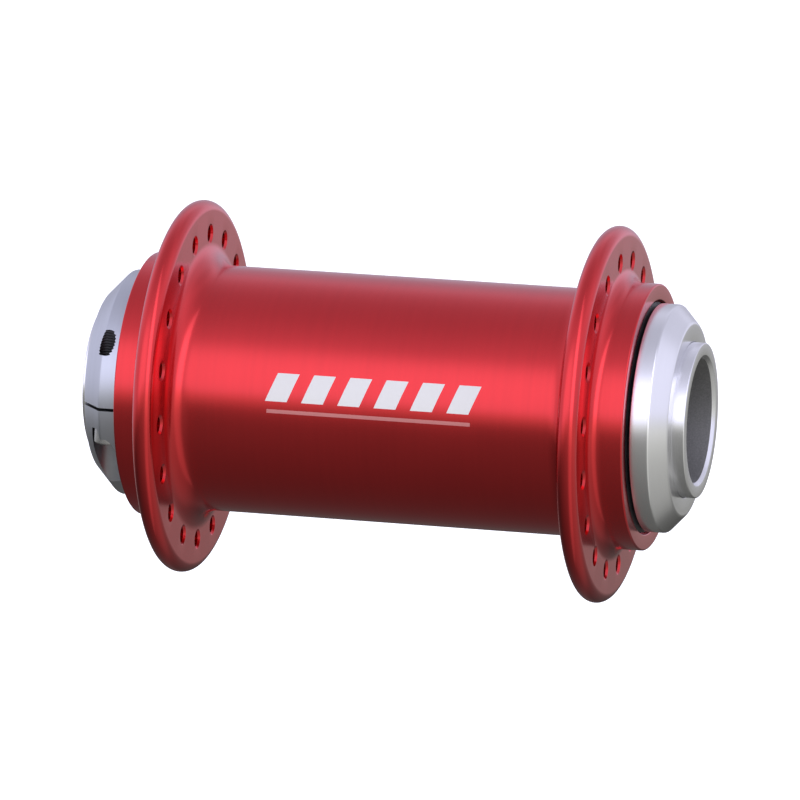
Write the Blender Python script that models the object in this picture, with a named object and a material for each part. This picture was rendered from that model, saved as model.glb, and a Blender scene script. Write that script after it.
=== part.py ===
"""Front bicycle hub for a 20 mm through axle, modelled in Blender as separate pieces.

The hub's axis is the world Y axis and its origin is the middle of the hub. +Y is the end with the plain
end cap and -Y is the end with the split clamp collar. The thirty-six spoke holes are in two flanges of
eighteen, with the +Y flange's holes half a pitch round from the -Y flange's.

All the constants are in millimetres, and MM turns them into Blender's metres as each mesh is made.
"""
import math

import bmesh
import bpy
from mathutils import Matrix

MM = 0.001
GAP = 0.3                     # clearance left between pieces that touch in the real hub

# Axle tube
AXLE_LENGTH = 100.0
AXLE_R = 12.5
AXLE_BORE_R = 10.0
AXLE_BORE_CHAMFER = 0.55
AXLE_EDGE_CHAMFER = 0.15

# Hub shell
TUBE_R = 20.0
SHELL_INNER_R = 17.5
BOSS_R = 21.5
SHELL_END_Y = 42.0
SHELL_END_CHAMFER = 0.25
FLANGE_R = 30.4
FLANGE_Y = 34.8
FLANGE_THICKNESS = 3.4
INNER_FILLET = 3.6
OUTER_FILLET = 2.2
SPOKES_PER_FLANGE = 18
SPOKE_CIRCLE_R = 25.0
SPOKE_HOLE_R = 1.3

# Cartridge bearing, 25 x 37 x 7
BEARING_Y = 36.7
BEARING_HALF_WIDTH = 3.5
RACE_OUTER_R = 18.35
RACE_OUTER_LAND_R = 16.5
RACE_INNER_LAND_R = 14.5
RACE_BORE_R = 12.75
BALL_R = 1.75
BALL_CIRCLE_R = 15.5
GROOVE_R = 2.0
BALL_COUNT = 16
CAGE_INNER_R = 14.95
CAGE_OUTER_R = 16.05
CAGE_FINGER_DEG = 7.5
SHIELD_THICKNESS = 0.4

# End cap and clamp collar: a neck, a disc, then a cone that ends in a flat face
CAP_BORE_R = 12.8
CAP_NECK_R = 14.2
CAP_R = 18.4
CAP_START_Y = 42.45
CAP_CONE_Y = 45.4
CAP_FACE_R = 15.5
CAP_FACE_Y = 48.0
COLLAR_FACE_R = 14.7
COLLAR_FACE_Y = 48.9

# Dust seal between the bearing and the cap
SEAL_R = 18.3
SEAL_BORE_R = 14.5
SEAL_START_Y = 40.7
SEAL_END_Y = 42.15
SEAL_LIP = 0.3
SHELL_SEAL_BORE_R = 18.9
SHELL_SEAL_BORE_Y = 40.5

# Pinch screw across the collar's slot
SLOT_WIDTH = 0.5
SCREW_X = 15.05
SCREW_Y = -44.8
SCREW_HOLE_R = 1.25
SCREW_SHANK_R = 0.95
SCREW_TIP_Z = 7.5
POCKET_R = 2.6
POCKET_SEAT_Z = -3.6
HEAD_R = 2.3
HEAD_LENGTH = 2.5
SOCKET_R = 1.15
SOCKET_DEPTH = 1.2

RED_ANODISE = ((0.55, 0.035, 0.045), 0.30, 1.0)
SATIN_ALUMINIUM = ((0.72, 0.73, 0.77), 0.28, 1.0)
STAINLESS_STEEL = ((0.58, 0.58, 0.60), 0.30, 1.0)
BEARING_STEEL = ((0.62, 0.62, 0.64), 0.18, 1.0)
BLACK_RUBBER = ((0.015, 0.015, 0.016), 0.60, 0.0)
CAGE_STEEL = ((0.45, 0.43, 0.40), 0.40, 1.0)


def clear_scene():
    """Remove whatever the scene holds."""
    for obj in list(bpy.data.objects):
        bpy.data.objects.remove(obj, do_unlink=True)


def make_material(name, look):
    """Return a Principled material from a (colour, roughness, metallic) look."""
    colour, roughness, metallic = look
    material = bpy.data.materials.new(name)
    material.use_nodes = True
    shader = material.node_tree.nodes["Principled BSDF"]
    shader.inputs["Base Color"].default_value = (*colour, 1.0)
    shader.inputs["Roughness"].default_value = roughness
    shader.inputs["Metallic"].default_value = metallic
    material.diffuse_color = (*colour, 1.0)
    return material


def arc(centre_r, centre_y, radius, start_deg, end_deg, steps):
    """Points of an arc in the (radius, y) half plane, with 0 degrees along +radius and 90 along +y."""
    points = []
    for step in range(steps + 1):
        angle = math.radians(start_deg + (end_deg - start_deg) * step / steps)
        points.append((centre_r + radius * math.cos(angle), centre_y + radius * math.sin(angle)))
    return points


def flip(profile):
    """The same profile on the -Y side of the hub."""
    return [(r, -y) for r, y in profile]


def finish_mesh(bm, name, sharp_deg=35.0):
    """Write a bmesh to a new mesh, with smooth faces parted at the sharp edges."""
    bmesh.ops.recalc_face_normals(bm, faces=bm.faces[:])
    mesh = bpy.data.meshes.new(name)
    bm.to_mesh(mesh)
    bm.free()
    mesh.shade_smooth()
    mesh.set_sharp_from_angle(angle=math.radians(sharp_deg))
    return mesh


def turned_mesh(name, profile, segments):
    """Spin a closed (radius, y) profile, in millimetres, all the way round the Y axis."""
    bm = bmesh.new()
    verts = [bm.verts.new((r * MM, y * MM, 0.0)) for r, y in profile]
    edges = [bm.edges.new((verts[i], verts[(i + 1) % len(verts)])) for i in range(len(verts))]
    bmesh.ops.spin(
        bm, geom=verts + edges, cent=(0.0, 0.0, 0.0), axis=(0.0, 1.0, 0.0),
        angle=math.tau, steps=segments, use_merge=True,
    )
    return finish_mesh(bm, name)


def add_object(name, mesh, material, location_mm=(0.0, 0.0, 0.0), parent=None):
    """Link a named object that shows a mesh in one material."""
    if material and not mesh.materials:
        mesh.materials.append(material)
    obj = bpy.data.objects.new(name, mesh)
    obj.location = [value * MM for value in location_mm]
    obj.parent = parent
    bpy.context.collection.objects.link(obj)
    return obj


def add_empty(name, y_mm):
    """An empty on the hub's axis, to carry the pieces that turn about it."""
    empty = bpy.data.objects.new(name, None)
    empty.location = (0.0, y_mm * MM, 0.0)
    bpy.context.collection.objects.link(empty)
    return empty


def cut(target, cutter):
    """Subtract a cutter from a target with a Boolean modifier, and hide the cutter."""
    cutter.hide_render = True
    cutter.display_type = 'WIRE'
    modifier = target.modifiers.new(cutter.name, 'BOOLEAN')
    modifier.operation = 'DIFFERENCE'
    modifier.solver = 'EXACT'
    modifier.object = cutter


def add_rod(bm, radius, start, end, axis, segments=16):
    """Add a closed cylinder to a bmesh, from start to end in millimetres along 'Y' or 'Z'."""
    length = math.dist(start, end)
    middle = [(a + b) / 2.0 * MM for a, b in zip(start, end)]
    turn = Matrix.Rotation(math.radians(90.0), 4, 'X') if axis == 'Y' else Matrix.Identity(4)
    bmesh.ops.create_cone(
        bm, cap_ends=True, segments=segments, radius1=radius * MM, radius2=radius * MM,
        depth=length * MM, matrix=Matrix.Translation(middle) @ turn,
    )


def shell_half_profile():
    """Outline of the +Y half of the shell, from the middle of the tube out and back inside."""
    half = FLANGE_THICKNESS / 2.0
    points = arc(TUBE_R + INNER_FILLET, FLANGE_Y - half - INNER_FILLET, INNER_FILLET, 180, 90, 4)
    points += arc(FLANGE_R - half, FLANGE_Y, half, -90, 90, 6)
    points += arc(BOSS_R + OUTER_FILLET, FLANGE_Y + half + OUTER_FILLET, OUTER_FILLET, 270, 180, 3)
    points += [
        (BOSS_R, SHELL_END_Y - SHELL_END_CHAMFER),
        (BOSS_R - SHELL_END_CHAMFER, SHELL_END_Y),
        (SHELL_SEAL_BORE_R, SHELL_END_Y),
        (SHELL_SEAL_BORE_R, SHELL_SEAL_BORE_Y),
        (RACE_OUTER_R + GAP, SHELL_SEAL_BORE_Y),
        (RACE_OUTER_R + GAP, BEARING_Y - BEARING_HALF_WIDTH - GAP),
        (SHELL_INNER_R, BEARING_Y - BEARING_HALF_WIDTH - GAP),
    ]
    return points


def make_shell(material, parent):
    """The one-piece shell: tube, two round-edged flanges, bearing seats and the spoke holes."""
    upper = shell_half_profile()
    shell = add_object("hub_shell", turned_mesh("hub_shell", upper + flip(upper)[::-1], 54), material,
                       parent=parent)
    pitch = math.tau / SPOKES_PER_FLANGE
    bm = bmesh.new()
    for side in (-1, 1):
        phase = pitch / 2.0 if side > 0 else 0.0
        for index in range(SPOKES_PER_FLANGE):
            angle = phase + index * pitch
            x = SPOKE_CIRCLE_R * math.cos(angle)
            z = SPOKE_CIRCLE_R * math.sin(angle)
            y = side * FLANGE_Y
            add_rod(bm, SPOKE_HOLE_R, (x, y - FLANGE_THICKNESS, z), (x, y + FLANGE_THICKNESS, z), 'Y', 8)
    cut(shell, add_object("cutter_spoke_holes", finish_mesh(bm, "cutter_spoke_holes"), None))


def make_axle_tube(material):
    """The straight tube that the through axle slides into, chamfered at both ends."""
    half = AXLE_LENGTH / 2.0
    end = [
        (AXLE_BORE_R, half - AXLE_BORE_CHAMFER),
        (AXLE_BORE_R + AXLE_BORE_CHAMFER, half),
        (AXLE_R - AXLE_EDGE_CHAMFER, half),
        (AXLE_R, half - AXLE_EDGE_CHAMFER),
    ]
    add_object("axle_tube", turned_mesh("axle_tube", end + flip(end)[::-1], 48), material)


def cap_profile(face_r, face_y):
    """Outline of a cap: a neck on the inner race, then a disc, and a cone down to a flat face."""
    neck_y = BEARING_Y + BEARING_HALF_WIDTH + GAP
    return [
        (CAP_BORE_R, neck_y),
        (CAP_NECK_R, neck_y),
        (CAP_NECK_R, CAP_START_Y),
        (CAP_R, CAP_START_Y),
        (CAP_R, CAP_CONE_Y),
        (face_r, face_y),
        (CAP_BORE_R, face_y),
    ]


def make_collar(material):
    """The clamp collar, split on its +X side, with a tapped hole above the slot and a pocket below it."""
    outline = flip(cap_profile(COLLAR_FACE_R, COLLAR_FACE_Y))
    collar = add_object("left_clamp_collar", turned_mesh("left_clamp_collar", outline, 48), material)
    bm = bmesh.new()
    depth = COLLAR_FACE_Y - SHELL_SEAL_BORE_Y + 4.0
    centre = ((AXLE_BORE_R + CAP_R + 3.0) / 2.0 * MM, -(COLLAR_FACE_Y + SHELL_SEAL_BORE_Y) / 2.0 * MM, 0.0)
    size = ((CAP_R + 3.0 - AXLE_BORE_R) * MM, depth * MM, SLOT_WIDTH * MM)
    bmesh.ops.create_cube(bm, size=1.0, matrix=Matrix.Translation(centre) @ Matrix.Diagonal((*size, 1.0)))
    cut(collar, add_object("cutter_slot", finish_mesh(bm, "cutter_slot"), None))
    bm = bmesh.new()
    add_rod(bm, SCREW_HOLE_R, (SCREW_X, SCREW_Y, POCKET_SEAT_Z - 1.0), (SCREW_X, SCREW_Y, CAP_R), 'Z', 16)
    cut(collar, add_object("cutter_screw_hole", finish_mesh(bm, "cutter_screw_hole"), None))
    bm = bmesh.new()
    add_rod(bm, POCKET_R, (SCREW_X, SCREW_Y, -CAP_R), (SCREW_X, SCREW_Y, POCKET_SEAT_Z), 'Z', 24)
    cut(collar, add_object("cutter_head_pocket", finish_mesh(bm, "cutter_head_pocket"), None))


def make_pinch_screw(material):
    """A socket head cap screw that stands upright across the slot, with its head below."""
    head_top = POCKET_SEAT_Z - GAP
    head_bottom = head_top - HEAD_LENGTH
    profile = [
        (0.0, SCREW_TIP_Z), (SCREW_SHANK_R, SCREW_TIP_Z), (SCREW_SHANK_R, head_top), (HEAD_R, head_top),
        (HEAD_R, head_bottom), (SOCKET_R, head_bottom), (SOCKET_R, head_bottom + SOCKET_DEPTH),
        (0.0, head_bottom + SOCKET_DEPTH),
    ]
    bm = bmesh.new()
    verts = [bm.verts.new((r * MM, 0.0, z * MM)) for r, z in profile]
    edges = [bm.edges.new((a, b)) for a, b in zip(verts, verts[1:])]
    bmesh.ops.spin(
        bm, geom=verts + edges, cent=(0.0, 0.0, 0.0), axis=(0.0, 0.0, 1.0),
        angle=math.tau, steps=12, use_merge=True,
    )
    bmesh.ops.remove_doubles(bm, verts=bm.verts[:], dist=1e-7)
    add_object("collar_pinch_screw", finish_mesh(bm, "collar_pinch_screw"), material,
               (SCREW_X, SCREW_Y, 0.0))


def make_dust_seal(name, side, material):
    """A rubber ring on the cap's neck that closes the shell's mouth."""
    profile = [
        (SEAL_BORE_R, SEAL_START_Y),
        (SEAL_R, SEAL_START_Y),
        (SEAL_R, SEAL_END_Y - SEAL_LIP),
        (SEAL_R - SEAL_LIP, SEAL_END_Y),
        (SEAL_BORE_R, SEAL_END_Y),
    ]
    add_object(name, turned_mesh(name, profile if side > 0 else flip(profile), 36), material)


def outer_race_profile():
    """Outer race with a ball groove in its bore."""
    width = BEARING_HALF_WIDTH
    reach = math.degrees(math.acos((RACE_OUTER_LAND_R - BALL_CIRCLE_R) / GROOVE_R))
    groove = arc(BALL_CIRCLE_R, 0.0, GROOVE_R, -reach, reach, 4)
    return [(RACE_OUTER_LAND_R, -width), *groove, (RACE_OUTER_LAND_R, width),
            (RACE_OUTER_R, width), (RACE_OUTER_R, -width)]


def inner_race_profile():
    """Inner race with a ball groove round its outside."""
    width = BEARING_HALF_WIDTH
    reach = math.degrees(math.acos((BALL_CIRCLE_R - RACE_INNER_LAND_R) / GROOVE_R))
    groove = arc(BALL_CIRCLE_R, 0.0, GROOVE_R, 180.0 - reach, 180.0 + reach, 4)
    return [(RACE_INNER_LAND_R, width), *groove, (RACE_INNER_LAND_R, -width),
            (RACE_BORE_R, -width), (RACE_BORE_R, width)]


def shield_profile(inner_y):
    """A flat ring that closes the gap between the races."""
    outer_y = inner_y + SHIELD_THICKNESS
    inner_r = RACE_INNER_LAND_R + 0.2
    outer_r = RACE_OUTER_LAND_R - GAP
    return [(inner_r, inner_y), (outer_r, inner_y), (outer_r, outer_y), (inner_r, outer_y)]


def cage_mesh(name, inward):
    """A crown cage: a thin ring behind the balls with a finger between each ball and the next.

    The ring is built cell by cell round the Y axis. Every other cell is a finger, which stands on the
    ring, so its two radial ends are closed by walls. inward is the side of the bearing the ring is on.
    """
    levels = (-2.7 * -inward, -2.05 * -inward, 1.2 * -inward)
    half_finger = math.radians(CAGE_FINGER_DEG / 2.0)
    stations = []
    for ball in range(BALL_COUNT):
        middle = math.tau * (ball + 0.5) / BALL_COUNT
        stations += [middle - half_finger, middle + half_finger]
    bm = bmesh.new()
    grid = {}
    for i, angle in enumerate(stations):
        for j, radius in enumerate((CAGE_INNER_R, CAGE_OUTER_R)):
            for k, y in enumerate(levels):
                grid[i, j, k] = bm.verts.new(
                    (radius * math.cos(angle) * MM, y * MM, radius * math.sin(angle) * MM))
    count = len(stations)
    for i in range(count):
        after = (i + 1) % count
        top = 2 if i % 2 == 0 else 1
        for k in range(top):
            for j in (0, 1):
                bm.faces.new((grid[i, j, k], grid[after, j, k], grid[after, j, k + 1], grid[i, j, k + 1]))
        for k in (0, top):
            bm.faces.new((grid[i, 0, k], grid[i, 1, k], grid[after, 1, k], grid[after, 0, k]))
        bm.faces.new((grid[i, 0, 1], grid[i, 1, 1], grid[i, 1, 2], grid[i, 0, 2]))
    return finish_mesh(bm, name)


def make_bearing(side_name, side, materials, shell_axis):
    """One cartridge bearing: two races, two rubber shields, a cage and its balls."""
    prefix = f"{side_name}_bearing"
    centre = (0.0, side * BEARING_Y, 0.0)
    steel = materials["bearing_steel"]
    inner = turned_mesh(f"{prefix}_inner_race", inner_race_profile(), 32)
    add_object(f"{prefix}_inner_race", inner, steel, centre)
    outer = turned_mesh(f"{prefix}_outer_race", outer_race_profile(), 32)
    add_object(f"{prefix}_outer_race", outer, steel, centre, shell_axis)
    inner_y = BEARING_HALF_WIDTH - SHIELD_THICKNESS - 0.1
    for place, direction in (("outboard", side), ("inboard", -side)):
        profile = shield_profile(inner_y)
        name = f"{prefix}_{place}_shield"
        mesh = turned_mesh(name, profile if direction > 0 else flip(profile), 32)
        add_object(name, mesh, materials["black_rubber"], centre, shell_axis)
    cage_axis = add_empty(f"{side_name}_cage_axis", side * BEARING_Y)
    cage = cage_mesh(f"{prefix}_cage", -side)
    add_object(f"{prefix}_cage", cage, materials["cage_steel"], parent=cage_axis)
    bm = bmesh.new()
    bmesh.ops.create_icosphere(bm, subdivisions=2, radius=BALL_R * MM)
    ball_mesh = finish_mesh(bm, f"{side_name}_ball", 180.0)
    for ball in range(BALL_COUNT):
        angle = math.tau * ball / BALL_COUNT
        place = (BALL_CIRCLE_R * math.cos(angle), 0.0, BALL_CIRCLE_R * math.sin(angle))
        add_object(f"{side_name}_ball_{ball + 1:02d}", ball_mesh, steel, place, cage_axis)


def main():
    """Build the whole hub."""
    clear_scene()
    looks = {
        "red_anodise": RED_ANODISE, "satin_aluminium": SATIN_ALUMINIUM, "stainless_steel": STAINLESS_STEEL,
        "bearing_steel": BEARING_STEEL, "black_rubber": BLACK_RUBBER, "cage_steel": CAGE_STEEL,
    }
    materials = {name: make_material(name, look) for name, look in looks.items()}
    shell_axis = add_empty("shell_axis", 0.0)
    make_shell(materials["red_anodise"], shell_axis)
    make_axle_tube(materials["satin_aluminium"])
    cap = turned_mesh("right_end_cap", cap_profile(CAP_FACE_R, CAP_FACE_Y), 48)
    add_object("right_end_cap", cap, materials["satin_aluminium"])
    make_collar(materials["satin_aluminium"])
    make_pinch_screw(materials["stainless_steel"])
    for side_name, side in (("left", -1), ("right", 1)):
        make_dust_seal(f"{side_name}_dust_seal", side, materials["black_rubber"])
        make_bearing(side_name, side, materials, shell_axis)


main()
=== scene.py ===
"""Looks of the front hub: finely turned pieces, procedural finishes, a studio and the camera.

Lengths are in millimetres unless a name ends in _M, and MM turns them into Blender's metres. The hub's
axis is Y, and most pieces are turned about it from an outline of (r, y, radius) corners, where radius
is that of the arc that rounds the corner.
"""
import math

import bmesh
import bpy
from mathutils import Matrix, Vector


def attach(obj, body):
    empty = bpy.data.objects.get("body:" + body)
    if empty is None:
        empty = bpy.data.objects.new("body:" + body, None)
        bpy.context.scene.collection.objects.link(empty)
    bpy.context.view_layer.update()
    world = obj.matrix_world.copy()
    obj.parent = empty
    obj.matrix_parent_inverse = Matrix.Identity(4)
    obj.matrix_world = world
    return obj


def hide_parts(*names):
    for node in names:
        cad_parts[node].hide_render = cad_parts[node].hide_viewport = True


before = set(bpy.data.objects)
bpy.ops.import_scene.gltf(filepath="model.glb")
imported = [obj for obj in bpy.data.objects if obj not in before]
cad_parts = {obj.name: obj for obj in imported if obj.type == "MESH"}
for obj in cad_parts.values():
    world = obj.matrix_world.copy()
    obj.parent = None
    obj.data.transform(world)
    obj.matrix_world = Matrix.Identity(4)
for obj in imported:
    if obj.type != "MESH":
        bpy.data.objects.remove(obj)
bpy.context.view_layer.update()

MM = 0.001
SHARP_DEG = 28.0

# Shell
TUBE_R = 20.0
STUB_R = 21.5
SHELL_END_Y = 42.0
MOUTH_R = 18.9
MOUTH_Y = 40.5
SEAT_R = 18.45
SEAT_CLEARANCE = 0.15
SHELL_BORE_R = 17.5
FLANGE_R = 30.4
FLANGE_Y = 34.8
FLANGE_THICKNESS = 3.4
SPOKES_PER_FLANGE = 18
SPOKE_CIRCLE_R = 25.0
SPOKE_HOLE_R = 1.3
SPOKE_COUNTERSINK = 0.35

# Bearings
BEARING_Y = 36.7
BEARING_HALF_WIDTH = 3.5
RACE_OUTER_R = 18.4
OUTER_LAND_R = 16.5
INNER_LAND_R = 14.5
RACE_BORE_R = 12.6
BALL_COUNT = 16
BALL_R = 1.75
BALL_CIRCLE_R = 15.5
GROOVE_CLEARANCE = 0.08
POCKET_CLEARANCE = 0.12

# Axle tube, end cap and collar
AXLE_END_Y = 50.0
AXLE_R = 12.5
AXLE_BORE_R = 10.0
BORE_CHAMFER = 0.55
CAP_BORE_R = 12.56
SPIGOT_R = 14.2
SPIGOT_Y = 40.4
DISC_R = 18.4
DISC_START_Y = 42.38
DISC_END_Y = 45.4

# The collar's slot and pinch screw; the screw's axis is upright
SLOT_WIDTH = 0.5
SCREW_X = 15.05
SCREW_Y = -44.8
SEAT_Z = -3.6
TAP_TOP_Z = 13.0
TAP_CREST_R = 1.42
TAP_ROOT_R = 1.22
CLEARANCE_HOLE_R = 1.45
HEAD_POCKET_R = 2.6
POCKET_END_Z = -16.0
THREAD_PITCH = 0.45
THREAD_START_DEG = 120.0
THREAD_CREST_R = 1.12
THREAD_ROOT_R = 0.96
HEAD_R = 2.28
HEAD_HEIGHT = 2.58
HEAD_GAP = 0.02
SOCKET_R = 1.15
SHANK_END_Z = 7.5

# The mark on the tube
MARK_CENTRE_DEG = 13.0
MARK_BARS = 6
MARK_PITCH = 6.0
MARK_SLANT = 0.4
BAR_SHARE = 0.6
BAR_MIDDLE = 1.5
BAR_HALF_HEIGHT = 2.3
RULE_MIDDLE = -2.4
RULE_HALF_HEIGHT = 0.3
RULE_INSET = 1.2
RULE_STRENGTH = 0.35


# ---------------------------------------------------------------- mesh tools

def rounded(corners, step_deg=7.5):
    """Points of a closed outline whose corners, given as (r, y, radius), are rounded with arcs."""
    points = []
    count = len(corners)
    for i, (r, y, radius) in enumerate(corners):
        here = Vector((r, y))
        if radius <= 0.0:
            points.append((r, y))
            continue
        before = (Vector(corners[i - 1][:2]) - here).normalized()
        after = (Vector(corners[(i + 1) % count][:2]) - here).normalized()
        half = before.angle(after) / 2.0
        centre = here + (before + after).normalized() * (radius / math.sin(half))
        reach = radius / math.tan(half)
        start = here + before * reach - centre
        sweep = start.angle_signed(here + after * reach - centre)
        steps = max(2, math.ceil(abs(math.degrees(sweep)) / step_deg))
        for step in range(steps + 1):
            spoke = start.copy()
            spoke.rotate(Matrix.Rotation(-sweep * step / steps, 2))
            points.append(tuple(centre + spoke))
    return points


def mirrored(corners):
    """The same corners on the other side of the hub, in the opposite order."""
    return [(r, -y, radius) for r, y, radius in reversed(corners)]


def moved(points, y):
    """Points moved along the axis."""
    return [(r, along + y) for r, along in points]


def placed(x, y, z):
    """The matrix that moves a mesh to a place given in millimetres."""
    return Matrix.Translation(Vector((x, y, z)) * MM)


def finish_mesh(bm, name):
    """Turn a bmesh into a mesh with outward faces, smooth except across sharp edges."""
    bmesh.ops.recalc_face_normals(bm, faces=bm.faces[:])
    mesh = bpy.data.meshes.new(name)
    bm.to_mesh(mesh)
    bm.free()
    smooth(mesh)
    return mesh


def smooth(mesh, sharp_deg=SHARP_DEG):
    """Shade a mesh smooth, except across edges sharper than an angle."""
    mesh.shade_smooth()
    mesh.set_sharp_from_angle(angle=math.radians(sharp_deg))


def turned_bmesh(points, segments, upright=False):
    """Revolve a closed outline of (r, along) points about Y, or about Z when upright."""
    bm = bmesh.new()
    rings = []
    for step in range(segments):
        angle = math.tau * step / segments
        c, s = math.cos(angle) * MM, math.sin(angle) * MM
        ring = []
        for r, along in points:
            place = (r * c, r * s, along * MM) if upright else (r * c, along * MM, r * s)
            ring.append(bm.verts.new(place))
        rings.append(ring)
    for step in range(segments):
        here, there = rings[step], rings[(step + 1) % segments]
        for i in range(len(points)):
            j = (i + 1) % len(points)
            if points[i][0] > 1e-6 or points[j][0] > 1e-6:
                bm.faces.new((here[i], here[j], there[j], there[i]))
    bmesh.ops.remove_doubles(bm, verts=bm.verts[:], dist=1e-8)
    return bm


def threaded_bmesh(crest_r, root_r, z_low, z_high, sides=48, per_pitch=8):
    """A rod along Z with a real helical V thread and flat ends."""
    bm = bmesh.new()
    rows = round((z_high - z_low) / THREAD_PITCH * per_pitch)
    grid = []
    for row in range(rows + 1):
        z = z_low + (z_high - z_low) * row / rows
        ring = []
        for side in range(sides):
            phase = (z / THREAD_PITCH - side / sides) % 1.0
            r = root_r + (crest_r - root_r) * (1.0 - abs(2.0 * phase - 1.0))
            angle = math.tau * side / sides
            ring.append(bm.verts.new((r * math.cos(angle) * MM, r * math.sin(angle) * MM, z * MM)))
        grid.append(ring)
    for row in range(rows):
        for side in range(sides):
            after = (side + 1) % sides
            bm.faces.new((grid[row][side], grid[row][after], grid[row + 1][after], grid[row + 1][side]))
    bm.faces.new(grid[0][::-1])
    bm.faces.new(grid[-1])
    return bm


def add_piece(name, mesh, material=None):
    """Link an object that shows a mesh."""
    obj = bpy.data.objects.new(name, mesh)
    if material:
        mesh.materials.append(material)
    bpy.context.scene.collection.objects.link(obj)
    return obj


def turned(name, points, segments, material, upright=False):
    """A turned piece of one material."""
    return add_piece(name, finish_mesh(turned_bmesh(points, segments, upright), name), material)


def combine(obj, bm_other, operation, sharp_deg=SHARP_DEG):
    """Cut a bmesh out of an object, or join it on, for good."""
    other = add_piece("other", finish_mesh(bm_other, "other"))
    modifier = obj.modifiers.new("combine", 'BOOLEAN')
    modifier.operation = operation
    modifier.solver = 'EXACT'
    modifier.object = other
    graph = bpy.context.evaluated_depsgraph_get()
    mesh = bpy.data.meshes.new_from_object(obj.evaluated_get(graph), depsgraph=graph)
    obj.modifiers.clear()
    spent = (obj.data, other.data)
    mesh.name = obj.data.name
    obj.data = mesh
    bpy.data.objects.remove(other)
    for old in spent:
        bpy.data.meshes.remove(old)
    smooth(mesh, sharp_deg)


def carve(obj, bm_cutter, material_index=0, matrix=None):
    """Cut a bmesh, moved by a matrix, out of an object; the new faces take that one of its materials."""
    if matrix is not None:
        bmesh.ops.transform(bm_cutter, matrix=matrix, verts=bm_cutter.verts[:])
    for face in bm_cutter.faces:
        face.material_index = material_index
    combine(obj, bm_cutter, 'DIFFERENCE')


def join_into(bm, other, matrix):
    """Append one bmesh to another, moved by a matrix, and free it."""
    bmesh.ops.transform(other, matrix=matrix, verts=other.verts[:])
    mesh = bpy.data.meshes.new("joined")
    other.to_mesh(mesh)
    other.free()
    bm.from_mesh(mesh)
    bpy.data.meshes.remove(mesh)


# ---------------------------------------------------------------- finishes

class Nodes:
    """Short ways to add and join shader nodes in one material or world."""

    def __init__(self, owner, coordinates="Object"):
        owner.use_nodes = True
        self.material = owner
        self.tree = owner.node_tree
        self.shader = self.tree.nodes.get("Principled BSDF")
        self.place = self.tree.nodes.new("ShaderNodeTexCoord").outputs[coordinates]
        split = self.tree.nodes.new("ShaderNodeSeparateXYZ")
        self.tree.links.new(self.place, split.inputs[0])
        self.x, self.y, self.z = split.outputs

    def feed(self, socket, value):
        """Link a socket to another, or set it to a plain value."""
        if isinstance(value, bpy.types.NodeSocket):
            self.tree.links.new(value, socket)
        else:
            socket.default_value = value

    def math(self, operation, first, second=0.0):
        """One Math node."""
        node = self.tree.nodes.new("ShaderNodeMath")
        node.operation = operation
        self.feed(node.inputs[0], first)
        self.feed(node.inputs[1], second)
        return node.outputs[0]

    def vector(self, x, y, z):
        """A vector from three values."""
        node = self.tree.nodes.new("ShaderNodeCombineXYZ")
        for socket, value in zip(node.inputs, (x, y, z)):
            self.feed(socket, value)
        return node.outputs[0]

    def vector_math(self, operation, first, second=(0.0, 0.0, 0.0)):
        """The value that a Vector Math node gives."""
        node = self.tree.nodes.new("ShaderNodeVectorMath")
        node.operation = operation
        self.feed(node.inputs[0], first)
        self.feed(node.inputs[1], second)
        return node.outputs["Value"]

    def dot(self, axis):
        """The place's or direction's component along an axis."""
        return self.vector_math('DOT_PRODUCT', self.place, axis)

    def level_length(self):
        """How far the direction reaches across the floor plane."""
        return self.vector_math('LENGTH', self.vector(self.x, self.y, 0.0))

    def radius(self):
        """Distance from the hub's axis, in metres."""
        return self.vector_math('LENGTH', self.vector(self.x, 0.0, self.z))

    def noise(self, vector, scale, detail, rough):
        """The value of a noise texture."""
        node = self.tree.nodes.new("ShaderNodeTexNoise")
        self.feed(node.inputs["Vector"], vector)
        node.inputs["Scale"].default_value = scale
        node.inputs["Detail"].default_value = detail
        node.inputs["Roughness"].default_value = rough
        return node.outputs[0]

    def ramp(self, value, low, high, to_low=0.0, to_high=1.0, smooth=True):
        """Map a value from one range to another, clamped."""
        node = self.tree.nodes.new("ShaderNodeMapRange")
        node.interpolation_type = 'SMOOTHSTEP' if smooth else 'LINEAR'
        for socket, number in zip(node.inputs, (value, low, high, to_low, to_high)):
            self.feed(socket, number)
        return node.outputs[0]

    def mix(self, factor, first, second):
        """Mix two colours, given as (r, g, b) or as sockets."""
        node = self.tree.nodes.new("ShaderNodeMix")
        node.data_type = 'RGBA'
        self.feed(node.inputs["Factor"], factor)
        for socket, colour in ((node.inputs[6], first), (node.inputs[7], second)):
            self.feed(socket, (*colour, 1.0) if isinstance(colour, tuple) else colour)
        return node.outputs[2]

    def bump(self, height, distance_m, normal=None):
        """A bump whose full height is distance_m, on top of another bump's normal if one is given."""
        node = self.tree.nodes.new("ShaderNodeBump")
        node.inputs["Strength"].default_value = 1.0
        node.inputs["Distance"].default_value = distance_m
        self.feed(node.inputs["Height"], height)
        if normal is not None:
            self.feed(node.inputs["Normal"], normal)
        return node.outputs[0]

    def lathe_place(self, per_m, radius, round_per_m=25.0):
        """Coordinates that change fast along the outline and slowly round the piece, as tool marks do."""
        return self.vector(
            self.math('MULTIPLY', self.y, per_m), self.math('MULTIPLY', radius, per_m),
            self.math('MULTIPLY', self.math('ADD', self.x, self.z), round_per_m))

    def finish(self, base, roughness, normal, metallic=0.0):
        """Feed the Principled shader and give the finished material."""
        self.feed(self.shader.inputs["Base Color"], base)
        self.feed(self.shader.inputs["Roughness"], roughness)
        self.feed(self.shader.inputs["Normal"], normal)
        self.feed(self.shader.inputs["Metallic"], metallic)
        return self.material


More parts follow.
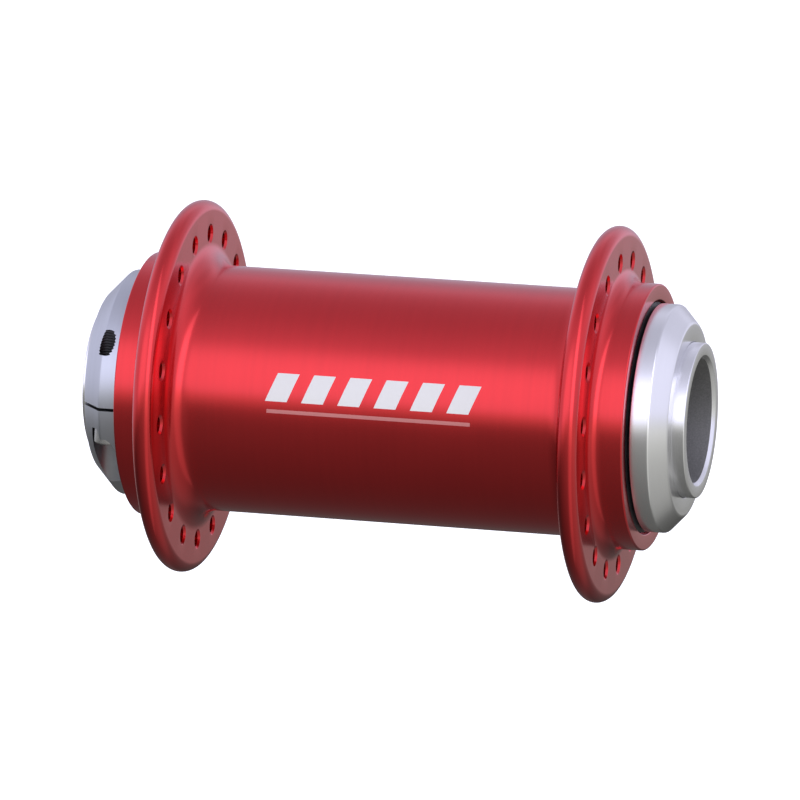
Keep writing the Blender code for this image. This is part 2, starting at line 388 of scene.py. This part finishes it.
# Tool marks on turned metal: how many to the metre, and how deep
FINE_MARKS_PER_M = 5200.0
COARSE_MARKS_PER_M = 900.0
BLAST_GRAINS_PER_M = 5200.0
CLOUDS_PER_M = 60.0
FINE_MARK_M = 0.8e-6
COARSE_MARK_M = 1.6e-6
BLAST_GRAIN_M = 0.8e-6
ROUGHNESS_BY_MARK = 0.025
ROUGHNESS_BY_CLOUD = 0.015
COAT_ROUGHNESS = 0.15

MARK_COLOUR = (0.6, 0.6, 0.565)
MARK_METAL_LOSS = 0.9
MARK_ROUGHENING = 0.25


def turned_metal(name, colour, darker, roughness, coat, edge_tint=(1.0, 1.0, 1.0), mark=False):
    """A lathe-turned, blasted and anodised metal: fine tool marks, slow tone drift, clear oxide over all."""
    n = Nodes(bpy.data.materials.new(name))
    radius = n.radius()
    fine = n.noise(n.lathe_place(FINE_MARKS_PER_M, radius), 1.0, 2.0, 0.6)
    coarse = n.noise(n.lathe_place(COARSE_MARKS_PER_M, radius, 12.0), 1.0, 3.0, 0.55)
    blast = n.noise(n.place, BLAST_GRAINS_PER_M, 2.0, 0.6)
    cloud = n.noise(n.place, CLOUDS_PER_M, 3.0, 0.5)
    tone = n.math('ADD', n.math('MULTIPLY', coarse, 0.55), n.math('MULTIPLY', cloud, 0.45))
    base = n.mix(n.ramp(tone, 0.3, 0.7), darker, colour)
    by_mark = n.ramp(
        fine, 0.25, 0.75, roughness - ROUGHNESS_BY_MARK, roughness + ROUGHNESS_BY_MARK, smooth=False)
    rough = n.math('ADD', by_mark, n.ramp(cloud, 0.3, 0.7, -ROUGHNESS_BY_CLOUD, ROUGHNESS_BY_CLOUD))
    metallic = 1.0
    if mark:
        inside = etched_mark(n, radius)
        base = n.mix(inside, base, MARK_COLOUR)
        rough = n.math('ADD', rough, n.math('MULTIPLY', inside, MARK_ROUGHENING))
        metallic = n.math('SUBTRACT', 1.0, n.math('MULTIPLY', inside, MARK_METAL_LOSS))
    n.shader.inputs["Specular Tint"].default_value = (*edge_tint, 1.0)
    n.shader.inputs["Coat Weight"].default_value = coat
    n.shader.inputs["Coat Roughness"].default_value = COAT_ROUGHNESS
    normal = n.bump(coarse, COARSE_MARK_M, n.bump(fine, FINE_MARK_M))
    return n.finish(base, rough, n.bump(blast, BLAST_GRAIN_M, normal), metallic)


def etched_mark(n, radius):
    """Mask of a plain decoration lasered on the tube: a row of slanted bars over a thin, faint rule."""
    angle = n.math('SUBTRACT', n.math('ARCTAN2', n.z, n.x), math.radians(MARK_CENTRE_DEG))
    up = n.math('MULTIPLY', angle, TUBE_R)
    along = n.math('MULTIPLY', n.y, 1.0 / MM)
    on_tube = n.math('LESS_THAN', radius, (TUBE_R + 0.05) * MM)
    half_length = MARK_BARS * MARK_PITCH / 2.0

    def band(value, centre, half_width):
        offset = n.math('ABSOLUTE', n.math('SUBTRACT', value, centre))
        return n.math('LESS_THAN', offset, half_width)

    slanted = n.math('SUBTRACT', along, n.math('MULTIPLY', up, MARK_SLANT))
    above_zero = n.math('ADD', slanted, 20.0 * half_length)
    phase = n.math('FRACT', n.math('DIVIDE', above_zero, MARK_PITCH))
    bars = n.math('MULTIPLY', band(phase, 0.5, BAR_SHARE / 2.0), band(up, BAR_MIDDLE, BAR_HALF_HEIGHT))
    bars = n.math('MULTIPLY', bars, band(slanted, 0.0, half_length))
    rule = n.math('MULTIPLY', band(up, RULE_MIDDLE, RULE_HALF_HEIGHT),
                  band(along, 0.0, half_length - RULE_INSET))
    rule = n.math('MULTIPLY', rule, RULE_STRENGTH)
    return n.math('MULTIPLY', n.math('MAXIMUM', bars, rule), on_tube)


def raw_bore(name):
    """The reamed, uncoated inside of the axle tube: dull grey with fine pits and rings."""
    n = Nodes(bpy.data.materials.new(name))
    pits = n.noise(n.place, 4200.0, 3.0, 0.75)
    rings = n.noise(n.lathe_place(2600.0, n.radius()), 1.0, 2.0, 0.6)
    base = n.mix(n.ramp(pits, 0.35, 0.7), (0.27, 0.268, 0.262), (0.4, 0.395, 0.385))
    normal = n.bump(pits, 8e-6, n.bump(rings, 4e-6))
    return n.finish(base, n.ramp(pits, 0.3, 0.7, 0.62, 0.78), normal, 1.0)


def painted_shade_cut(name):
    """Saw slot and thread walls, painted near-black as painted shade in these deep, narrow cuts; the metal
    there is the same as the rest of the collar.
    """
    n = Nodes(bpy.data.materials.new(name))
    blotches = n.noise(n.place, 1800.0, 3.0, 0.6)
    base = n.mix(blotches, (0.006, 0.006, 0.007), (0.020, 0.020, 0.022))
    return n.finish(base, n.ramp(blotches, 0.3, 0.7, 0.4, 0.6), n.bump(blotches, 4e-6))


def ground_steel(name, colour, roughness):
    """Ground bearing steel or a stamped part: faint grinding lines and a few dull patches."""
    n = Nodes(bpy.data.materials.new(name))
    lines = n.noise(n.lathe_place(4200.0, n.radius(), 60.0), 1.0, 3.0, 0.6)
    cloud = n.noise(n.place, 260.0, 3.0, 0.5)
    darker = tuple(level * 0.86 for level in colour)
    base = n.mix(n.ramp(cloud, 0.35, 0.65), darker, colour)
    rough = n.ramp(lines, 0.3, 0.7, roughness - 0.04, roughness + 0.06)
    return n.finish(base, rough, n.bump(lines, 1.2e-6), 1.0)


def moulded_rubber(name):
    """Black seal rubber with a fine moulded grain and a trace of grease shine."""
    n = Nodes(bpy.data.materials.new(name))
    grain = n.noise(n.place, 3600.0, 3.0, 0.6)
    blotches = n.noise(n.place, 220.0, 2.0, 0.5)
    base = n.mix(blotches, (0.006, 0.006, 0.007), (0.014, 0.014, 0.015))
    return n.finish(base, n.ramp(blotches, 0.35, 0.65, 0.45, 0.62), n.bump(grain, 9e-6))


RED = turned_metal(
    "red_anodised_aluminium", (0.66, 0.024, 0.029), (0.62, 0.022, 0.027), 0.22, 0.62,
    edge_tint=(1.0, 0.85, 0.92), mark=True)
SILVER = turned_metal("satin_aluminium", (0.835, 0.835, 0.865), (0.795, 0.795, 0.825), 0.23, 0.25)
# The collar's satin aluminium: rougher and a little bluer than the cap's, with a base darkened as painted
# shade for the dimmer light at the hub's -Y end
SHADED_SATIN = turned_metal("satin_aluminium_in_painted_shade", (0.555, 0.575, 0.635), (0.515, 0.535, 0.595), 0.38, 0.2)
# The head pocket's walls: a rougher milled finish, on a base darkened as painted shade inside the pocket
MILLED_IN_PAINTED_SHADE = turned_metal("milled_aluminium_in_painted_shade", (0.35, 0.355, 0.375), (0.28, 0.285, 0.30), 0.4, 0.1)
BORE = raw_bore("reamed_bore")
# Near-black slot and thread walls: painted shade in the collar's deep cuts
PAINTED_SHADE_BLACK = painted_shade_cut("painted_shade_cut")
STAINLESS = ground_steel("stainless_steel", (0.60, 0.60, 0.61), 0.27)
BEARING_STEEL = ground_steel("bearing_steel", (0.66, 0.66, 0.67), 0.16)
CAGE_STEEL = ground_steel("cage_steel", (0.46, 0.43, 0.38), 0.36)
RUBBER = moulded_rubber("black_rubber")


# ---------------------------------------------------------------- pieces

def declare(piece, body, node):
    """Put a piece on the body it rides on, and hide the CAD node it stands for."""
    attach(piece, body)
    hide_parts(node)


def make_shell():
    """The shell with its filleted flanges, bearing seats and countersunk spoke holes."""
    half = FLANGE_THICKNESS / 2.0
    bead = half - 0.01
    seat_y = BEARING_Y - BEARING_HALF_WIDTH - SEAT_CLEARANCE
    corners = [
        (TUBE_R, FLANGE_Y - half, 3.6),
        (FLANGE_R, FLANGE_Y - half, bead),
        (FLANGE_R, FLANGE_Y + half, bead),
        (STUB_R, FLANGE_Y + half, 2.2),
        (STUB_R, SHELL_END_Y, 0.3),
        (MOUTH_R, SHELL_END_Y, 0.15),
        (MOUTH_R, MOUTH_Y, 0.1),
        (SEAT_R, MOUTH_Y, 0.15),
        (SEAT_R, seat_y, 0.1),
        (SHELL_BORE_R, seat_y, 0.3),
    ]
    shell = turned("shell_body", rounded(corners + mirrored(corners)), 192, RED)
    reach = 2.4
    wide_r = SPOKE_HOLE_R + SPOKE_COUNTERSINK + reach - half
    straight = half - SPOKE_COUNTERSINK
    hole = [
        (0.0, -reach), (wide_r, -reach), (SPOKE_HOLE_R, -straight),
        (SPOKE_HOLE_R, straight), (wide_r, reach), (0.0, reach),
    ]
    holes = bmesh.new()
    pitch = math.tau / SPOKES_PER_FLANGE
    for side in (-1, 1):
        phase = pitch / 2.0 if side > 0 else 0.0
        for index in range(SPOKES_PER_FLANGE):
            angle = phase + index * pitch
            place = (SPOKE_CIRCLE_R * math.cos(angle) * MM, side * FLANGE_Y * MM,
                     SPOKE_CIRCLE_R * math.sin(angle) * MM)
            join_into(holes, turned_bmesh(hole, 32), Matrix.Translation(place))
    carve(shell, holes)
    declare(shell, "turning_shell", "hub_shell")


def make_axle():
    """The axle tube, clear anodised outside and reamed inside."""
    end = [
        (AXLE_BORE_R, AXLE_END_Y - BORE_CHAMFER, 0.1), (AXLE_BORE_R + BORE_CHAMFER, AXLE_END_Y, 0.08),
        (AXLE_R, AXLE_END_Y, 0.2),
    ]
    axle = turned("axle_sleeve", rounded(end + mirrored(end), 15.0), 160, SILVER)
    axle.data.materials.append(BORE)
    for face in axle.data.polygons:
        if math.hypot(face.center.x, face.center.z) < (AXLE_BORE_R + 0.02) * MM:
            face.material_index = 1
    declare(axle, "axle_group", "axle_tube")


def cap_corners(face_r, face_y, face_round):
    """Corners of the end cap's or the collar's outline."""
    return [
        (CAP_BORE_R, SPIGOT_Y, 0.15), (SPIGOT_R, SPIGOT_Y, 0.15), (SPIGOT_R, DISC_START_Y, 0.2),
        (DISC_R, DISC_START_Y, 0.2), (DISC_R, DISC_END_Y, 0.6), (face_r, face_y, face_round),
        (CAP_BORE_R, face_y, 0.12),
    ]


def make_cap():
    """The plain end cap."""
    cap = turned("end_cap_right", rounded(cap_corners(15.6, 48.0, 0.9)), 160, SILVER)
    declare(cap, "axle_group", "right_end_cap")


def make_collar():
    """The clamp collar with its slot, tapped hole, screw clearance and head pocket."""
    # The collar's body takes the satin aluminium darkened as painted shade
    collar = turned("clamp_collar_left", rounded(mirrored(cap_corners(14.8, 48.9, 0.5))), 160, SHADED_SATIN)
    for material in (PAINTED_SHADE_BLACK, MILLED_IN_PAINTED_SHADE):
        collar.data.materials.append(material)
    shade_black, milled_shaded = 1, 2
    slot = bmesh.new()
    bmesh.ops.create_cube(slot, size=1.0, matrix=Matrix.Diagonal(
        (10.0 * MM, 12.0 * MM, SLOT_WIDTH * MM, 1.0)))
    # The slot and the tapped hole take the near-black painted shade
    carve(collar, slot, shade_black, placed(17.0, -44.5, 0.0))
    on_axis = placed(SCREW_X, SCREW_Y, 0.0)
    start = Matrix.Rotation(math.radians(THREAD_START_DEG), 4, 'Z')
    carve(collar, threaded_bmesh(TAP_CREST_R, TAP_ROOT_R, 0.0, TAP_TOP_Z), shade_black, on_axis @ start)
    below = [
        (0.0, 0.2), (CLEARANCE_HOLE_R, 0.2), (CLEARANCE_HOLE_R, SEAT_Z), (HEAD_POCKET_R, SEAT_Z),
        (HEAD_POCKET_R, POCKET_END_Z), (0.0, POCKET_END_Z),
    ]
    # The screw clearance and head pocket take the milled finish darkened as painted shade
    carve(collar, turned_bmesh(below, 64, upright=True), milled_shaded, on_axis)
    declare(collar, "axle_group", "left_clamp_collar")


def make_screw():
    """The socket head cap screw, with a chamfered head, a hex socket and a rolled thread."""
    top = SEAT_Z - HEAD_GAP
    bottom = top - HEAD_HEIGHT
    head = rounded([(0.0, top, 0.0), (HEAD_R, top, 0.12), (HEAD_R, bottom, 0.3), (0.0, bottom, 0.0)])
    screw = turned("pinch_screw", head, 64, STAINLESS, upright=True)
    socket = bmesh.new()
    bmesh.ops.create_cone(
        socket, cap_ends=True, segments=6, radius1=SOCKET_R * MM, radius2=SOCKET_R * MM, depth=2.6 * MM)
    carve(screw, socket, 0, placed(0.0, 0.0, bottom))
    shank = threaded_bmesh(THREAD_CREST_R, THREAD_ROOT_R, top - 0.4, SHANK_END_Z, 32, 6)
    combine(screw, shank, 'UNION', 35.0)
    screw.data.transform(placed(SCREW_X, SCREW_Y, 0.0))
    declare(screw, "axle_group", "collar_pinch_screw")


def make_dust_seal(side_name, side):
    """A lipped rubber ring in the shell's mouth."""
    corners = [
        (14.3, 40.6, 0.1), (17.4, 40.6, 0.2), (18.6, 41.2, 0.1), (18.6, 41.6, 0.1), (17.6, 42.1, 0.2),
        (14.3, 42.1, 0.1),
    ]
    points = rounded(corners if side > 0 else mirrored(corners), 15.0)
    seal = turned(f"dust_seal_{side_name}", points, 128, RUBBER)
    declare(seal, "axle_group", f"{side_name}_dust_seal")


def race_points(back_r, land_r, groove_sign):
    """Outline of a race about the bearing's own middle, with its ball groove."""
    w = BEARING_HALF_WIDTH
    groove_r = BALL_R + GROOVE_CLEARANCE
    reach = math.acos(abs(land_r - BALL_CIRCLE_R) / groove_r)
    points = rounded([(back_r, w, 0.35), (back_r, -w, 0.35), (land_r, -w, 0.1), (land_r, 0.0, 0.0),
                      (land_r, w, 0.1)], 20.0)
    arc = []
    for step in range(17):
        angle = reach * (2.0 * step / 16 - 1.0)
        arc.append((BALL_CIRCLE_R + groove_sign * groove_r * math.cos(angle), groove_r * math.sin(angle)))
    middle = next(i for i, (r, y) in enumerate(points) if abs(y) < 1e-9)
    return points[:middle] + arc + points[middle + 1:]


def ball_places(side):
    """Matrices that put balls at their places in one bearing."""
    for ball in range(BALL_COUNT):
        angle = math.tau * ball / BALL_COUNT
        yield placed(BALL_CIRCLE_R * math.cos(angle), side * BEARING_Y, BALL_CIRCLE_R * math.sin(angle))


def make_cage(side_name, side):
    """A snap-in crown cage: a ring with a round pocket for each ball, open on its outboard side."""
    low, high = sorted((-2.7 * side, 1.2 * side))
    ring = rounded([(14.95, low, 0.15), (16.05, low, 0.15), (16.05, high, 0.15), (14.95, high, 0.15)], 30.0)
    cage = turned(f"ball_cage_{side_name}", moved(ring, side * BEARING_Y), 128, CAGE_STEEL)
    pockets = bmesh.new()
    for place in ball_places(side):
        ball = bmesh.new()
        bmesh.ops.create_uvsphere(
            ball, u_segments=20, v_segments=14, radius=(BALL_R + POCKET_CLEARANCE) * MM)
        join_into(pockets, ball, place)
    carve(cage, pockets)
    declare(cage, f"{side_name}_ball_set", f"{side_name}_bearing_cage")


def make_bearing(side_name, side):
    """Both races, both shields, the cage and the balls of one bearing."""
    y = side * BEARING_Y
    for place, body, back_r, land_r, groove_sign in (
            ("outer", "turning_shell", RACE_OUTER_R, OUTER_LAND_R, 1),
            ("inner", "axle_group", RACE_BORE_R, INNER_LAND_R, -1)):
        points = moved(race_points(back_r, land_r, groove_sign), y)
        race = turned(f"{place}_race_{side_name}", points, 128, BEARING_STEEL)
        declare(race, body, f"{side_name}_bearing_{place}_race")
    for place, outward in (("outboard", side), ("inboard", -side)):
        near, far = sorted((outward * 2.95, outward * 3.4))
        corners = [(14.62, near, 0.1), (16.4, near, 0.1), (16.4, far, 0.1), (14.62, far, 0.1)]
        shield = turned(f"{place}_shield_{side_name}", moved(rounded(corners, 30.0), y), 128, RUBBER)
        declare(shield, "turning_shell", f"{side_name}_bearing_{place}_shield")
    make_cage(side_name, side)
    outline = []
    for step in range(17):
        angle = math.pi * step / 16
        outline.append((BALL_R * math.sin(angle), -BALL_R * math.cos(angle)))
    for number, place in enumerate(ball_places(side), 1):
        ball = turned(f"bearing_ball_{side_name}_{number:02d}", outline, 24, BEARING_STEEL)
        ball.data.transform(place)
        declare(ball, f"{side_name}_ball_set", f"{side_name}_ball_{number:02d}")


make_shell()
make_axle()
make_cap()
make_collar()
make_screw()
for name, sign in (("left", -1), ("right", 1)):
    make_dust_seal(name, sign)
    make_bearing(name, sign)


# ---------------------------------------------------------------- studio

CAMERA_AZIMUTH_DEG = 15.0
CAMERA_ELEVATION_DEG = 14.8
CAMERA_DISTANCE_M = 1.256
CAMERA_LENS = 349.0
FLOOR_Z_M = -0.16
FLOOR_HALF_SIDE_M = 12.0

# The dome's grey levels by height, from straight down at -1 to straight up at 1
DOME_UP = (-0.2, 0.04, 1.0)
DOME_LEVELS = (
    (-1.0, 0.16), (-0.4, 0.22), (-0.22, 0.28), (-0.06, 0.54), (0.08, 0.9), (0.6, 0.95), (0.85, 0.72),
    (1.0, 0.56),
)
DOME_BLUE = 1.2
FLOOR_BLUE = 0.94
LEFT_LIFT = 0.2

# How much the levels rise towards +X and +Y, above the floor tone and in it, and where one gives way
# to the other
DOME_GAIN = (0.1, 0.02, 0.0)
FLOOR_GAIN = (0.4, 0.75, 0.0)
FLOOR_TONE_TOP = -0.24
DOME_TONE_BOTTOM = 0.0

# Round soft panels as (azimuth, elevation, cosine at the edge, cosine where it is full, gain); a
# negative gain is a flag
GLOW = (-14.0, 18.0, 0.72, 0.97, 0.54)
PANELS = (
    (200.0, 2.0, 0.8, 0.97, -0.35),
    (150.0, 27.0, 0.88, 0.98, -0.2),
    (165.0, -35.0, 0.88, 0.98, -0.35),
    (80.0, -45.0, 0.65, 0.97, 0.6),
)
STRIP_AZIMUTH_DEG = 50.0
STRIP_EDGE = 0.92
STRIP_FULL = 0.99
STRIP_LEVEL = 1.15


def direction(azimuth_deg, elevation_deg):
    """Unit vector at an angle round from +X towards +Y, and up."""
    a, e = math.radians(azimuth_deg), math.radians(elevation_deg)
    return Vector((math.cos(e) * math.cos(a), math.cos(e) * math.sin(a), math.sin(e)))


def make_floor():
    """A wide, plain floor, lit to plain white."""
    bm = bmesh.new()
    bmesh.ops.create_grid(bm, x_segments=1, y_segments=1, size=FLOOR_HALF_SIDE_M)
    material = bpy.data.materials.new("pale_floor")
    floor = add_piece("studio_floor", finish_mesh(bm, "studio_floor"), material)
    floor.location.z = FLOOR_Z_M
    material.use_nodes = True
    shader = material.node_tree.nodes["Principled BSDF"]
    shader.inputs["Base Color"].default_value = (0.93, 0.93, 0.93, 1.0)
    shader.inputs["Roughness"].default_value = 0.9
    shader.inputs["Specular IOR Level"].default_value = 0.1
    shader.inputs["Emission Color"].default_value = (1.0, 1.0, 1.0, 1.0)
    shader.inputs["Emission Strength"].default_value = 0.55
    floor.visible_glossy = False


def soft_panel(n, azimuth_deg, elevation_deg, edge, full, gain):
    """Gain of a round soft panel, or of a flag if negative, in each direction."""
    return n.ramp(n.dot(direction(azimuth_deg, elevation_deg)), edge, full, 0.0, gain)


def make_world():
    """Studio surroundings that only the hub sees, and a plain white backdrop for the camera.

    They are a bright dome, bluish above and dim towards the floor, a soft glow in front, an upright
    strip between +X and +Y, a low panel off the +Y end, and three flags that darken the -X side.
    """
    world = bpy.data.worlds.new("studio")
    bpy.context.scene.world = world
    world.use_nodes = True
    world.node_tree.nodes.clear()
    n = Nodes(world, "Generated")
    lift = n.math('MULTIPLY', n.math('MAXIMUM', n.dot((0.0, -1.0, 0.0)), 0.0), LEFT_LIFT)
    height = n.math('ADD', n.dot(Vector(DOME_UP).normalized()), lift)
    levels = n.tree.nodes.new("ShaderNodeValToRGB")
    n.feed(levels.inputs["Fac"], n.ramp(height, -1.0, 1.0, smooth=False))
    elements = levels.color_ramp.elements
    while len(elements) < len(DOME_LEVELS):
        elements.new(0.5)
    for element, (at, level) in zip(elements, DOME_LEVELS):
        element.position = (at + 1.0) / 2.0
        element.color = (level, level, level * (DOME_BLUE if at > 0.0 else FLOOR_BLUE), 1.0)
    above = n.ramp(height, FLOOR_TONE_TOP, DOME_TONE_BOTTOM, smooth=False)
    low_gain = n.math('MULTIPLY', n.math('SUBTRACT', 1.0, above), n.dot(FLOOR_GAIN))
    gain = n.math('ADD', 1.0, n.math('ADD', low_gain, n.math('MULTIPLY', above, n.dot(DOME_GAIN))))
    toward_strip = n.math('DIVIDE', n.dot(direction(STRIP_AZIMUTH_DEG, 0.0)), n.level_length())
    gain = n.math('ADD', gain, n.ramp(toward_strip, STRIP_EDGE, STRIP_FULL, 0.0, STRIP_LEVEL))
    gain = n.math('ADD', gain, n.math('MULTIPLY', soft_panel(n, *GLOW), above))
    for panel in PANELS:
        gain = n.math('ADD', gain, soft_panel(n, *panel))
    dome = n.tree.nodes.new("ShaderNodeBackground")
    n.feed(dome.inputs["Color"], levels.outputs["Color"])
    n.feed(dome.inputs["Strength"], gain)
    backdrop = n.tree.nodes.new("ShaderNodeBackground")
    backdrop.inputs["Color"].default_value = (1.0, 1.0, 1.0, 1.0)
    mix = n.tree.nodes.new("ShaderNodeMixShader")
    n.feed(mix.inputs["Fac"], n.tree.nodes.new("ShaderNodeLightPath").outputs["Is Camera Ray"])
    n.feed(mix.inputs[1], dome.outputs[0])
    n.feed(mix.inputs[2], backdrop.outputs[0])
    n.feed(n.tree.nodes.new("ShaderNodeOutputWorld").inputs["Surface"], mix.outputs[0])


def make_camera():
    """The camera, a long lens a little above the hub and round towards its +Y end."""
    data = bpy.data.cameras.new("camera")
    data.lens = CAMERA_LENS
    data.clip_end = 100.0
    camera = bpy.data.objects.new("camera", data)
    toward = direction(CAMERA_AZIMUTH_DEG, CAMERA_ELEVATION_DEG)
    camera.location = toward * CAMERA_DISTANCE_M
    camera.rotation_mode = 'QUATERNION'
    camera.rotation_quaternion = toward.to_track_quat('Z', 'Y')
    bpy.context.scene.collection.objects.link(camera)
    bpy.context.scene.camera = camera


make_floor()
make_world()
make_camera()
bpy.context.scene.view_settings.view_transform = 'Standard'
